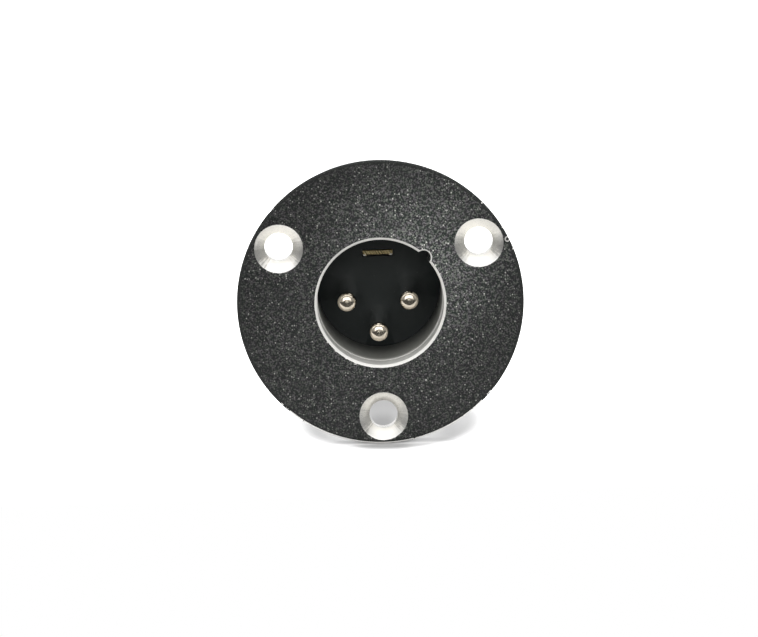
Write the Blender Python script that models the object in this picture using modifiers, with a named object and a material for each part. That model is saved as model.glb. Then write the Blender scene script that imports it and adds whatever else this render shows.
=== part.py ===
"""Male panel connector with three pins and a round flange, modelled from its real pieces.

Frame: the axis of the connector runs along Y. The front of the socket faces -Y, +X is to
the right as seen from the front, and +Z is up. The origin is on the axis, in the plane of
the flange's rear face, which is the face that seats on the panel.

Seven pieces are built: the die-cast shell, the moulded insulator, three contacts (each a
pin and its solder cup in one), the formed ground contact and the insert screw.
"""
import math

import bmesh
import bpy
from mathutils import Matrix, Vector

MM = 0.001

# Fits and modelling margins
FIT_GAP = 0.10 * MM  # clearance between pieces that seat on each other
CUT_MARGIN = 0.50 * MM  # how far a cutter reaches past the surface that it opens
JOIN_SINK = 0.10 * MM  # how far a joined shape reaches into the one that it grows from
MERGE = 0.001 * MM  # points closer than this are one point

# Shell: socket, from the front
BORE_DIAMETER = 15.7 * MM
SOCKET_DEPTH = 12.9 * MM  # front of the flange to the face of the insulator
MOUTH_CHAMFER = 0.3 * MM
LEAD_IN_LENGTH = 3.3 * MM
LEAD_IN_STEP = 0.06 * MM  # the lead-in is wider than the bore by this much all round
LEDGE_WIDTH = 0.5 * MM  # the counterbore behind the bore is wider by this much all round

# Shell: barrel behind the flange, with a little casting draft
BARREL_WALL = 1.22 * MM  # round the counterbore, at the rear end
BARREL_TAPER = 0.33 * MM  # radius that the barrel gains from its rear end to the flange
BARREL_SKIRT = 3.0 * MM  # how far the barrel reaches past the rear of the insulator
BARREL_END_ROUND = 0.4 * MM
BARREL_ROOT_FILLET = 0.4 * MM

# Shell: flange
FLANGE_WIDTH = 8.0 * MM  # outside of the barrel to the rim
FLANGE_THICKNESS = 3.0 * MM
FLANGE_RIM_TAPER = 0.3 * MM  # radius that the rim loses from the front to the rear
FLANGE_FRONT_ROUND = 0.4 * MM
FLANGE_REAR_ROUND = 0.2 * MM

# Shell: three countersunk screw holes
SCREW_HOLE_COUNT = 3
FIRST_SCREW_HOLE_ANGLE = math.radians(30)
SCREW_HOLE_INSET = 3.5 * MM  # rim of the flange to the middle of the hole
SCREW_HOLE_DIAMETER = 3.55 * MM
COUNTERSINK_DIAMETER = 6.0 * MM
COUNTERSINK_ANGLE = math.radians(82)

# Shell: keyway in the bore, for the key of the mating plug
KEYWAY_ANGLE = math.radians(45)
KEYWAY_DIAMETER = 1.6 * MM
KEYWAY_CENTRE_INSET = 0.05 * MM  # wall of the bore to the middle of the keyway
KEYWAY_END_SETBACK = 1.9 * MM  # end of the keyway to the face of the insulator

# Shell: window that the latch of the mating plug drops into
LATCH_WINDOW_WIDTH = 5.0 * MM
LATCH_WINDOW_LENGTH = 3.2 * MM
LATCH_WINDOW_SETBACK = 4.6 * MM  # front of the flange to the front edge of the window
LATCH_WINDOW_CORNER = 0.6 * MM

# Insulator: a nose that fills the bore and a wider body behind the shell's shoulder
INSULATOR_BODY_LENGTH = 4.6 * MM
INSULATOR_NOSE_LENGTH = 1.0 * MM
INSULATOR_EDGE = 0.25 * MM

# Index rib in the shell and its notch in the insulator
INDEX_ANGLE = math.radians(225)
INDEX_RIB_WIDTH = 1.6 * MM
INDEX_RIB_HEIGHT = 0.7 * MM
INDEX_RIB_END_SETBACK = 1.2 * MM  # rear end of the barrel to the end of the rib

# Contacts
CONTACT_ANGLES = (math.radians(180), math.radians(0), math.radians(270))
CONTACT_CIRCLE_DIAMETER = 7.76 * MM
PIN_DIAMETER = 2.4 * MM
PIN_TIP_RECESS = 0.4 * MM  # front of the flange to the tip of the pin
PIN_TIP_ROUND = 0.85 * MM
PIN_TIP_CROWN = 0.04 * MM  # how far the middle of the tip stands out
COLLAR_DIAMETER = 3.5 * MM
COLLAR_LENGTH = 1.4 * MM
COLLAR_SEAT_DEPTH = 2.4 * MM  # face of the insulator to the seat of the collar
CUP_DIAMETER = 2.9 * MM
CUP_BORE = 2.0 * MM
CUP_DEPTH = 3.8 * MM
CUP_DRILL_POINT = 0.5 * MM  # height of the cone at the bottom of the cup
CUP_PROJECTION = 6.0 * MM  # rear of the insulator to the end of the cup
CUP_SCOOP_LENGTH = 3.0 * MM
CUP_SCOOP_FLOOR = 0.2 * MM  # contact's axis to the flat that the scoop leaves
CUP_EDGE = 0.15 * MM

# Ground contact: a flat strip with turned-down edges, spring wings and a solder tag
STRIP_WIDTH = 3.8 * MM
STRIP_THICKNESS = 0.5 * MM
STRIP_HEIGHT = 4.37 * MM  # height of the strip's middle above the axis
STRIP_PROUD = 0.2 * MM  # how far the front end stands out of the insulator
STRIP_LIP_WIDTH = 0.5 * MM
STRIP_LIP_DROP = 0.18 * MM
STRIP_LIP_INSET = 0.03 * MM  # the lips stand this far in from the strip's edges
SHOULDER_STEP = 0.7 * MM  # how far the shoulders stand out on each side of the strip
SHOULDER_LENGTH = 1.6 * MM
SHOULDER_CORNER = 0.3 * MM
SHOULDER_RELIEF = 0.15 * MM  # notch where the strip meets the shoulder
WING_BEND_RADIUS = 1.0 * MM
WING_BEND_ANGLE = math.radians(55)
WING_THICKNESS = 0.3 * MM
WING_INSET = 0.1 * MM  # the wings are narrower than the shoulders by this much a side
TAG_WIDTH = 3.0 * MM
TAG_LENGTH = 5.2 * MM  # rear of the shoulder to the middle of the eyelet
EYELET_DIAMETER = 1.5 * MM

# Insert screw: slotted set screw through the barrel's lower wall
INSERT_SCREW_ANGLE = math.radians(270)
INSERT_SCREW_DIAMETER = 2.5 * MM
INSERT_SCREW_LENGTH = 2.5 * MM
INSERT_SCREW_SETBACK = 2.3 * MM  # shell's shoulder to the screw's axis
INSERT_SCREW_RECESS = 0.25 * MM  # barrel's outside to the screw's end
INSERT_SCREW_SLOT_WIDTH = 0.45 * MM
INSERT_SCREW_SLOT_DEPTH = 0.8 * MM
INSERT_SCREW_EDGE = 0.2 * MM

# Facets round a full turn
SHELL_SIDES = 96
HOLE_SIDES = 40
CONTACT_SIDES = 32
ROUND_STEPS = 4  # facets in a rounded edge
SMALL_ROUND_STEPS = 2  # facets in the smallest rounded edges
SHARP_ANGLE = math.radians(30)  # edges that turn more than this are shaded sharp

# Places that follow from the sizes above, as depths along +Y
FRONT_FACE = -FLANGE_THICKNESS
INSULATOR_FACE = FRONT_FACE + SOCKET_DEPTH
SHOULDER = INSULATOR_FACE + INSULATOR_NOSE_LENGTH
INSULATOR_BODY_FRONT = SHOULDER + FIT_GAP
INSULATOR_REAR = INSULATOR_BODY_FRONT + INSULATOR_BODY_LENGTH
BARREL_END = INSULATOR_REAR + BARREL_SKIRT
COLLAR_SEAT = INSULATOR_FACE + COLLAR_SEAT_DEPTH
PIN_TIP = FRONT_FACE + PIN_TIP_RECESS
CUP_END = INSULATOR_REAR + CUP_PROJECTION
SHOULDER_FRONT = INSULATOR_REAR + FIT_GAP
SHOULDER_REAR = SHOULDER_FRONT + SHOULDER_LENGTH
EYELET_DEPTH = SHOULDER_REAR + TAG_LENGTH
INSERT_SCREW_DEPTH = SHOULDER + INSERT_SCREW_SETBACK

# Widths and radii that follow from the sizes above
SHOULDER_WIDTH = STRIP_WIDTH + SHOULDER_STEP * 2
BORE_RADIUS = BORE_DIAMETER / 2
COUNTERBORE_RADIUS = BORE_RADIUS + LEDGE_WIDTH
BARREL_RADIUS = COUNTERBORE_RADIUS + BARREL_WALL + BARREL_TAPER
FLANGE_RADIUS = BARREL_RADIUS + FLANGE_WIDTH
BOLT_CIRCLE_RADIUS = FLANGE_RADIUS - SCREW_HOLE_INSET
KEYWAY_CENTRE_RADIUS = BORE_RADIUS - KEYWAY_CENTRE_INSET
NOSE_RADIUS = BORE_RADIUS - FIT_GAP
INSULATOR_RADIUS = COUNTERBORE_RADIUS - FIT_GAP


def barrel_radius_at(depth):
    """Outside radius of the drafted barrel at a depth behind the flange."""
    return BARREL_RADIUS - BARREL_TAPER * depth / BARREL_END


def polar(angle, radius, depth):
    """A point at an angle round the connector's axis, seen from the front."""
    return Vector((radius * math.cos(angle), depth, radius * math.sin(angle)))


def round_corner(centre, radius, start, end, steps=ROUND_STEPS):
    """Points of a quarter round in a (radius, depth) profile; angles in degrees."""
    points = []
    for step in range(steps + 1):
        angle = math.radians(start + (end - start) * step / steps)
        points.append((centre[0] + radius * math.cos(angle), centre[1] + radius * math.sin(angle)))
    return points


def make_collection(name):
    collection = bpy.data.collections.new(name)
    bpy.context.scene.collection.children.link(collection)
    return collection


def clear_scene():
    for leftover in list(bpy.data.objects):
        bpy.data.objects.remove(leftover)


def make_material(name, colour, roughness, metallic):
    material = bpy.data.materials.new(name)
    material.use_nodes = True
    shader = material.node_tree.nodes["Principled BSDF"]
    shader.inputs["Base Color"].default_value = (*colour, 1.0)
    shader.inputs["Roughness"].default_value = roughness
    shader.inputs["Metallic"].default_value = metallic
    return material


def add_object(name, mesh, collection):
    made = bpy.data.objects.new(name, mesh)
    collection.objects.link(made)
    if collection.name == CUTTERS.name:
        made.hide_render = True
        made.display_type = "WIRE"
    return made


def turned(name, profile, closed, sides, collection):
    """Turn a profile of (radius, depth) points about the connector's axis.

    The profile runs down the outer side from front to rear. A closed profile makes a ring;
    an open one starts and ends on the axis.
    """
    mesh = bpy.data.meshes.new(name)
    points = [(radius, 0.0, -depth) for radius, depth in profile]
    edges = [(i, i + 1) for i in range(len(points) - 1)]
    if closed:
        edges.append((len(points) - 1, 0))
    mesh.from_pydata(points, edges, [])
    made = add_object(name, mesh, collection)
    made.rotation_euler = (math.radians(90), 0.0, 0.0)
    screw = made.modifiers.new("Turn", "SCREW")
    screw.axis = "Z"
    screw.angle = math.radians(360)
    screw.steps = sides
    screw.render_steps = sides
    screw.use_merge_vertices = True
    screw.merge_threshold = MERGE
    screw.use_smooth_shade = True
    return made


def box(name, size, centre, angle, collection):
    """A box whose Z side points out at an angle round the axis; it is turned about Y."""
    mesh = bpy.data.meshes.new(name)
    shape = bmesh.new()
    bmesh.ops.create_cube(shape, size=1.0, matrix=Matrix.Diagonal((*size, 1.0)))
    shape.to_mesh(mesh)
    shape.free()
    made = add_object(name, mesh, collection)
    made.location = centre
    made.rotation_euler = (0.0, math.radians(90) - angle, 0.0)
    return made


def radial_rod(name, radius, inner, outer, angle, depth, edge, collection):
    """A rod that points out from the axis, from one distance to another."""
    mesh = bpy.data.meshes.new(name)
    shape = bmesh.new()
    bmesh.ops.create_cone(
        shape,
        cap_ends=True,
        segments=CONTACT_SIDES,
        radius1=radius,
        radius2=radius,
        depth=outer - inner,
    )
    shape.to_mesh(mesh)
    shape.free()
    made = add_object(name, mesh, collection)
    made.location = polar(angle, (inner + outer) / 2, depth)
    made.rotation_euler = (0.0, math.radians(90) - angle, 0.0)
    if edge:
        bevel = made.modifiers.new("Broken edges", "BEVEL")
        bevel.width = edge
        bevel.segments = 1
        bevel.limit_method = "ANGLE"
    return made


def outline_plate(name, outlines, thickness, collection):
    """A flat plate from closed outlines in X and Y; inner outlines are holes."""
    curve = bpy.data.curves.new(name, "CURVE")
    curve.dimensions = "2D"
    curve.fill_mode = "BOTH"
    curve.extrude = thickness / 2
    for outline in outlines:
        spline = curve.splines.new("POLY")
        spline.points.add(len(outline) - 1)
        for point, (x, y) in zip(spline.points, outline):
            point.co = (x, y, 0.0, 1.0)
        spline.use_cyclic_u = True
    drawn = add_object(name + "_outline", curve, collection)
    bpy.context.view_layer.update()
    depsgraph = bpy.context.evaluated_depsgraph_get()
    mesh = bpy.data.meshes.new_from_object(drawn.evaluated_get(depsgraph))
    bpy.data.objects.remove(drawn)
    weld(mesh)
    mesh.name = name
    return add_object(name, mesh, collection)


def weld(mesh):
    shape = bmesh.new()
    shape.from_mesh(mesh)
    bmesh.ops.remove_doubles(shape, verts=shape.verts, dist=MERGE)
    shape.to_mesh(mesh)
    shape.free()


def folded_ribbon(name, path, width, thickness, front, collection):
    """A sheet that follows a path of (x, z) points and is wide along Y."""
    mesh = bpy.data.meshes.new(name)
    shape = bmesh.new()
    near = [shape.verts.new((x, front, z)) for x, z in path]
    far = [shape.verts.new((x, front + width, z)) for x, z in path]
    for i in range(len(path) - 1):
        shape.faces.new((near[i], near[i + 1], far[i + 1], far[i]))
    shape.to_mesh(mesh)
    shape.free()
    made = add_object(name, mesh, collection)
    solidify = made.modifiers.new("Sheet", "SOLIDIFY")
    solidify.thickness = thickness
    solidify.offset = 0.0
    solidify.use_even_offset = True
    return made


def combine(body, tool, operation, label):
    boolean = body.modifiers.new(label, "BOOLEAN")
    boolean.operation = operation
    boolean.object = tool
    boolean.solver = "EXACT"


def cut(body, tool, label):
    combine(body, tool, "DIFFERENCE", label)


def join(body, tool, label):
    combine(body, tool, "UNION", label)


def settle(body, material):
    """Turn a piece and its modifiers into a plain mesh, shaded smooth where it is round."""
    bpy.context.view_layer.update()
    depsgraph = bpy.context.evaluated_depsgraph_get()
    mesh = bpy.data.meshes.new_from_object(body.evaluated_get(depsgraph))
    body.modifiers.clear()
    body.data = mesh
    mesh.name = body.name
    mesh.materials.clear()
    mesh.materials.append(material)
    mesh.shade_smooth()
    mesh.set_sharp_from_angle(angle=SHARP_ANGLE)
    even = body.modifiers.new("Even shading", "WEIGHTED_NORMAL")
    even.keep_sharp = True
    return body


def shell_profile():
    """Section of the shell: flange and barrel outside, then the socket from rear to front."""
    rim = FLANGE_RADIUS
    lead_in = BORE_RADIUS + LEAD_IN_STEP
    front_centre = (rim - FLANGE_FRONT_ROUND, FRONT_FACE + FLANGE_FRONT_ROUND)
    rear_centre = (rim - FLANGE_RIM_TAPER - FLANGE_REAR_ROUND, -FLANGE_REAR_ROUND)
    root_centre = (barrel_radius_at(BARREL_ROOT_FILLET) + BARREL_ROOT_FILLET, BARREL_ROOT_FILLET)
    end_centre = (
        barrel_radius_at(BARREL_END) - BARREL_END_ROUND,
        BARREL_END - BARREL_END_ROUND,
    )
    profile = [(lead_in + MOUTH_CHAMFER, FRONT_FACE)]
    profile += round_corner(front_centre, FLANGE_FRONT_ROUND, -90, 0)
    profile += round_corner(rear_centre, FLANGE_REAR_ROUND, 0, 90, SMALL_ROUND_STEPS)
    profile += round_corner(root_centre, BARREL_ROOT_FILLET, 270, 180, SMALL_ROUND_STEPS)
    profile += round_corner(end_centre, BARREL_END_ROUND, 0, 90)
    profile += [
        (COUNTERBORE_RADIUS, BARREL_END),
        (COUNTERBORE_RADIUS, SHOULDER),
        (BORE_RADIUS, SHOULDER),
        (BORE_RADIUS, FRONT_FACE + LEAD_IN_LENGTH + LEAD_IN_STEP),
        (lead_in, FRONT_FACE + LEAD_IN_LENGTH),
        (lead_in, FRONT_FACE + MOUTH_CHAMFER),
    ]
    return profile


def countersink_cutter(index):
    """Countersink and clearance hole for one flange screw."""
    hole = SCREW_HOLE_DIAMETER / 2
    slope = math.tan(COUNTERSINK_ANGLE / 2)
    sink = COUNTERSINK_DIAMETER / 2
    profile = [
        (0.0, FRONT_FACE - CUT_MARGIN),
        (sink + CUT_MARGIN * slope, FRONT_FACE - CUT_MARGIN),
        (hole, FRONT_FACE + (sink - hole) / slope),
        (hole, CUT_MARGIN),
        (0.0, CUT_MARGIN),
    ]
    cutter = turned(f"countersink_{index + 1}", profile, False, HOLE_SIDES, CUTTERS)
    angle = FIRST_SCREW_HOLE_ANGLE + math.radians(360) * index / SCREW_HOLE_COUNT
    cutter.location = polar(angle, BOLT_CIRCLE_RADIUS, 0.0)
    return cutter


def keyway_cutter():
    """Groove along the bore, whose mouth has the same chamfer as the bore's."""
    radius = KEYWAY_DIAMETER / 2
    rear = INSULATOR_FACE - KEYWAY_END_SETBACK
    profile = [
        (0.0, FRONT_FACE - CUT_MARGIN),
        (radius + MOUTH_CHAMFER + CUT_MARGIN, FRONT_FACE - CUT_MARGIN),
        (radius, FRONT_FACE + MOUTH_CHAMFER),
        (radius, rear),
        (0.0, rear),
    ]
    cutter = turned("keyway", profile, False, CONTACT_SIDES, CUTTERS)
    cutter.location = polar(KEYWAY_ANGLE, KEYWAY_CENTRE_RADIUS, 0.0)
    return cutter


def latch_window_cutter():
    """Rounded opening in the top of the barrel."""
    inner = BORE_RADIUS * math.cos(math.asin(LATCH_WINDOW_WIDTH / BORE_DIAMETER)) - CUT_MARGIN
    outer = BARREL_RADIUS + CUT_MARGIN
    size = (LATCH_WINDOW_WIDTH, LATCH_WINDOW_LENGTH, outer - inner)
    depth = FRONT_FACE + LATCH_WINDOW_SETBACK + LATCH_WINDOW_LENGTH / 2
    centre = (0.0, depth, (inner + outer) / 2)
    cutter = box("latch_window", size, centre, math.radians(90), CUTTERS)
    rounded = cutter.modifiers.new("Window corners", "BEVEL")
    rounded.width = LATCH_WINDOW_CORNER
    rounded.segments = ROUND_STEPS
    rounded.limit_method = "WEIGHT"
    weights = cutter.data.attributes.new("bevel_weight_edge", "FLOAT", "EDGE")
    for edge in cutter.data.edges:
        start, end = (cutter.data.vertices[i].co for i in edge.vertices)
        upright = abs(start.z - end.z) > MERGE
        weights.data[edge.index].value = 1.0 if upright else 0.0
    return cutter


def index_bar(name, gap, front, rear, collection):
    """Bar that stands in from the counterbore's wall; the notch is the same bar plus a gap."""
    wall = COUNTERBORE_RADIUS + JOIN_SINK
    inner = COUNTERBORE_RADIUS - INDEX_RIB_HEIGHT - gap
    size = (INDEX_RIB_WIDTH + gap * 2, rear - front, wall - inner)
    centre = polar(INDEX_ANGLE, (inner + wall) / 2, (front + rear) / 2)
    return box(name, size, centre, INDEX_ANGLE, collection)


def build_shell(material):
    shell = turned("shell", shell_profile(), True, SHELL_SIDES, PARTS)
    for index in range(SCREW_HOLE_COUNT):
        cut(shell, countersink_cutter(index), f"Screw hole {index + 1}")
    cut(shell, keyway_cutter(), "Keyway")
    cut(shell, latch_window_cutter(), "Latch window")
    rib_rear = BARREL_END - INDEX_RIB_END_SETBACK
    rib = index_bar("index_rib", 0.0, SHOULDER - JOIN_SINK, rib_rear, CUTTERS)
    join(shell, rib, "Index rib")
    screw_hole = radial_rod(
        "insert_screw_hole",
        INSERT_SCREW_DIAMETER / 2 + FIT_GAP,
        COUNTERBORE_RADIUS - CUT_MARGIN,
        BARREL_RADIUS + CUT_MARGIN,
        INSERT_SCREW_ANGLE,
        INSERT_SCREW_DEPTH,
        0.0,
        CUTTERS,
    )
    cut(shell, screw_hole, "Insert screw hole")
    return settle(shell, material)


def insulator_profile():
    """Section of the insulator, from the middle of its face out and back to the axis."""
    body = INSULATOR_RADIUS
    return [
        (0.0, INSULATOR_FACE),
        (NOSE_RADIUS - INSULATOR_EDGE, INSULATOR_FACE),
        (NOSE_RADIUS, INSULATOR_FACE + INSULATOR_EDGE),
        (NOSE_RADIUS, INSULATOR_BODY_FRONT),
        (body, INSULATOR_BODY_FRONT),
        (body, INSULATOR_REAR - INSULATOR_EDGE),
        (body - INSULATOR_EDGE, INSULATOR_REAR),
        (0.0, INSULATOR_REAR),
    ]


def contact_hole_cutter(number, angle):
    """Stepped hole: the pin's clearance in front, the collar's behind."""
    pin = PIN_DIAMETER / 2 + FIT_GAP
    collar = COLLAR_DIAMETER / 2 + FIT_GAP
    profile = [
        (0.0, INSULATOR_FACE - CUT_MARGIN),
        (pin, INSULATOR_FACE - CUT_MARGIN),
        (pin, COLLAR_SEAT),
        (collar, COLLAR_SEAT),
        (collar, INSULATOR_REAR + CUT_MARGIN),
        (0.0, INSULATOR_REAR + CUT_MARGIN),
    ]
    cutter = turned(f"contact_hole_{number}", profile, False, CONTACT_SIDES, CUTTERS)
    cutter.location = polar(angle, CONTACT_CIRCLE_DIAMETER / 2, 0.0)
    return cutter


def strip_slot_cutter():
    """Slot for the ground strip, with room for its turned-down edges."""
    top = STRIP_HEIGHT + STRIP_THICKNESS / 2 + FIT_GAP
    bottom = STRIP_HEIGHT - STRIP_THICKNESS / 2 - STRIP_LIP_DROP - FIT_GAP
    front = INSULATOR_FACE - CUT_MARGIN
    rear = INSULATOR_REAR + CUT_MARGIN
    size = (STRIP_WIDTH + FIT_GAP * 2, rear - front, top - bottom)
    centre = (0.0, (front + rear) / 2, (top + bottom) / 2)
    return box("strip_slot", size, centre, math.radians(90), CUTTERS)


def insert_screw_ends():
    """Distances of the insert screw's inner and outer ends from the axis."""
    outer = barrel_radius_at(INSERT_SCREW_DEPTH) - INSERT_SCREW_RECESS
    return outer - INSERT_SCREW_LENGTH, outer


def build_insulator(material):
    insulator = turned("insulator", insulator_profile(), False, SHELL_SIDES, PARTS)
    for number, angle in enumerate(CONTACT_ANGLES, start=1):
        cut(insulator, contact_hole_cutter(number, angle), f"Contact hole {number}")
    cut(insulator, strip_slot_cutter(), "Ground strip slot")
    front = INSULATOR_BODY_FRONT - CUT_MARGIN
    notch = index_bar("index_notch", FIT_GAP, front, INSULATOR_REAR + CUT_MARGIN, CUTTERS)
    cut(insulator, notch, "Index notch")
    screw_inner, screw_outer = insert_screw_ends()
    pocket = radial_rod(
        "insert_screw_pocket",
        INSERT_SCREW_DIAMETER / 2 + FIT_GAP,
        screw_inner - FIT_GAP,
        screw_outer,
        INSERT_SCREW_ANGLE,
        INSERT_SCREW_DEPTH,
        0.0,
        CUTTERS,
    )
    cut(insulator, pocket, "Insert screw pocket")
    return settle(insulator, material)


def contact_profile():
    """Section of a contact: domed tip, pin, collar and the outside of the solder cup."""
    pin = PIN_DIAMETER / 2
    collar = COLLAR_DIAMETER / 2
    cup = CUP_DIAMETER / 2
    seat = COLLAR_SEAT + FIT_GAP
    tip_centre = (pin - PIN_TIP_ROUND, PIN_TIP + PIN_TIP_CROWN + PIN_TIP_ROUND)
    profile = [(0.0, PIN_TIP)]
    profile += round_corner(tip_centre, PIN_TIP_ROUND, -90, 0)
    profile += [
        (pin, seat),
        (collar, seat),
        (collar, seat + COLLAR_LENGTH),
        (cup, seat + COLLAR_LENGTH),
        (cup, CUP_END - CUP_EDGE),
        (cup - CUP_EDGE, CUP_END),
        (0.0, CUP_END),
    ]
    return profile


def build_contact(number, angle, material):
    place = polar(angle, CONTACT_CIRCLE_DIAMETER / 2, 0.0)
    contact = turned(f"contact_{number}", contact_profile(), False, CONTACT_SIDES, PARTS)
    contact.location = place
    cup_floor = CUP_END - CUP_DEPTH
    bore = turned(
        f"cup_bore_{number}",
        [
            (0.0, cup_floor - CUP_DRILL_POINT),
            (CUP_BORE / 2, cup_floor),
            (CUP_BORE / 2, CUP_END + CUT_MARGIN),
            (0.0, CUP_END + CUT_MARGIN),
        ],
        False,
        CONTACT_SIDES,
        CUTTERS,
    )
    bore.location = place
    bore.rotation_euler.y = math.pi / CONTACT_SIDES
    cut(contact, bore, "Cup bore")
    scoop_size = (CUP_DIAMETER * 2, CUP_SCOOP_LENGTH + CUT_MARGIN, CUP_DIAMETER)
    scoop_middle = CONTACT_CIRCLE_DIAMETER / 2 + CUP_SCOOP_FLOOR + CUP_DIAMETER / 2
    scoop_centre = polar(angle, scoop_middle, CUP_END + CUT_MARGIN - scoop_size[1] / 2)
    scoop = box(f"cup_scoop_{number}", scoop_size, scoop_centre, angle, CUTTERS)
    cut(contact, scoop, "Cup scoop")
    return settle(contact, material)


def strip_outline():
    """Plan of the ground contact: front strip, shoulders, solder tag with a round end."""
    strip = STRIP_WIDTH / 2
    shoulder = SHOULDER_WIDTH / 2
    tag = TAG_WIDTH / 2
    right_side = [
        (strip, INSULATOR_FACE - STRIP_PROUD),
        (strip, SHOULDER_FRONT + SHOULDER_RELIEF),
        (strip + SHOULDER_RELIEF, SHOULDER_FRONT),
        (shoulder - SHOULDER_CORNER, SHOULDER_FRONT),
        (shoulder, SHOULDER_FRONT + SHOULDER_CORNER),
        (shoulder, SHOULDER_REAR),
        (tag, SHOULDER_REAR),
    ]
    round_end = []
    for step in range(CONTACT_SIDES // 2 + 1):
        angle = math.pi * step / (CONTACT_SIDES // 2)
        round_end.append((tag * math.cos(angle), EYELET_DEPTH + tag * math.sin(angle)))
    left_side = [(-x, y) for x, y in reversed(right_side)]
    return right_side + round_end + left_side


def eyelet_outline():
    points = []
    for step in range(CONTACT_SIDES):
        angle = 2 * math.pi * step / CONTACT_SIDES
        x = EYELET_DIAMETER / 2 * math.cos(angle)
        y = EYELET_DEPTH + EYELET_DIAMETER / 2 * math.sin(angle)
        points.append((x, y))
    return points


def wing_path():
    """Path of the spring wings seen from the front: flat, bent up, then straight to the bore.

    The straight leaf ends where its outer corner meets the counterbore, less the fit gap.
    """
    flat = SHOULDER_WIDTH / 2 - JOIN_SINK
    points = [(0.0, STRIP_HEIGHT), (flat, STRIP_HEIGHT)]
    for step in range(1, ROUND_STEPS + 1):
        angle = WING_BEND_ANGLE * step / ROUND_STEPS
        x = flat + WING_BEND_RADIUS * math.sin(angle)
        z = STRIP_HEIGHT + WING_BEND_RADIUS * (1 - math.cos(angle))
        points.append((x, z))
    run = Vector((math.cos(WING_BEND_ANGLE), math.sin(WING_BEND_ANGLE)))
    side = Vector((run.y, -run.x)) * WING_THICKNESS / 2
    reach = COUNTERBORE_RADIUS - FIT_GAP
    lengths = []
    for corner in (Vector(points[-1]) + side, Vector(points[-1]) - side):
        along = corner.dot(run)
        lengths.append(-along + math.sqrt(along**2 - corner.length_squared + reach**2))
    tip = Vector(points[-1]) + run * min(lengths)
    points.append((tip.x, tip.y))
    left = [(-x, z) for x, z in reversed(points[1:])]
    return left + points


def build_ground_contact(material):
    outlines = [strip_outline(), eyelet_outline()]
    strip = outline_plate("ground_contact", outlines, STRIP_THICKNESS, PARTS)
    strip.location.z = STRIP_HEIGHT
    front = INSULATOR_FACE - STRIP_PROUD + STRIP_LIP_INSET
    lip_size = (STRIP_LIP_WIDTH, INSULATOR_REAR - front, STRIP_LIP_DROP + JOIN_SINK)
    underside = STRIP_HEIGHT - STRIP_THICKNESS / 2
    lip_height = underside - STRIP_LIP_DROP + lip_size[2] / 2
    for label, side in (("left", -1), ("right", 1)):
        x = side * ((STRIP_WIDTH - STRIP_LIP_WIDTH) / 2 - STRIP_LIP_INSET)
        centre = (x, front + lip_size[1] / 2, lip_height)
        lip = box(f"{label}_lip", lip_size, centre, math.radians(90), CUTTERS)
        join(strip, lip, f"Turned-down {label} edge")
    wings = folded_ribbon(
        "spring_wings",
        wing_path(),
        SHOULDER_LENGTH - WING_INSET * 2,
        WING_THICKNESS,
        SHOULDER_FRONT + WING_INSET,
        CUTTERS,
    )
    join(strip, wings, "Spring wings")
    return settle(strip, material)


def build_insert_screw(material):
    inner, outer = insert_screw_ends()
    screw = radial_rod(
        "insert_screw",
        INSERT_SCREW_DIAMETER / 2,
        inner,
        outer,
        INSERT_SCREW_ANGLE,
        INSERT_SCREW_DEPTH,
        INSERT_SCREW_EDGE,
        PARTS,
    )
    slot_size = (
        INSERT_SCREW_DIAMETER * 2,
        INSERT_SCREW_SLOT_WIDTH,
        INSERT_SCREW_SLOT_DEPTH + CUT_MARGIN,
    )
    slot_middle = outer + CUT_MARGIN - slot_size[2] / 2
    slot_centre = polar(INSERT_SCREW_ANGLE, slot_middle, INSERT_SCREW_DEPTH)
    slot = box("screw_slot", slot_size, slot_centre, INSERT_SCREW_ANGLE, CUTTERS)
    cut(screw, slot, "Driver slot")
    return settle(screw, material)


clear_scene()
PARTS = make_collection("panel_mount_xlr_connector")
CUTTERS = make_collection("cutters")

dark_casting = make_material("dark_speckled_casting", (0.085, 0.087, 0.084), 0.45, 0.3)
black_moulding = make_material("black_moulding", (0.014, 0.016, 0.015), 0.5, 0.0)
plated_pin = make_material("plated_pin", (0.62, 0.56, 0.45), 0.22, 1.0)
plated_brass = make_material("plated_brass", (0.35, 0.27, 0.13), 0.35, 1.0)
steel = make_material("steel", (0.45, 0.45, 0.46), 0.35, 1.0)

build_shell(dark_casting)
build_insulator(black_moulding)
for contact_number, contact_angle in enumerate(CONTACT_ANGLES, start=1):
    build_contact(contact_number, contact_angle, plated_pin)
build_ground_contact(plated_brass)
build_insert_screw(steel)
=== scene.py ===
# %% [markdown]
# # A three-pin panel connector
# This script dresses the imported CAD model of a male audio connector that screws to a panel.
# The real one is a dark zinc casting with a bare metal socket, and three plated pins stand
# in a black moulded insulator. The CAD model is loaded first as a fixed frame. Every piece
# below is made in that frame, in metres, so nothing is fitted by eye afterwards.
# Along -Y is the front of the socket, +Z is up, and Y = 0 is the face that seats on the panel.

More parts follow.
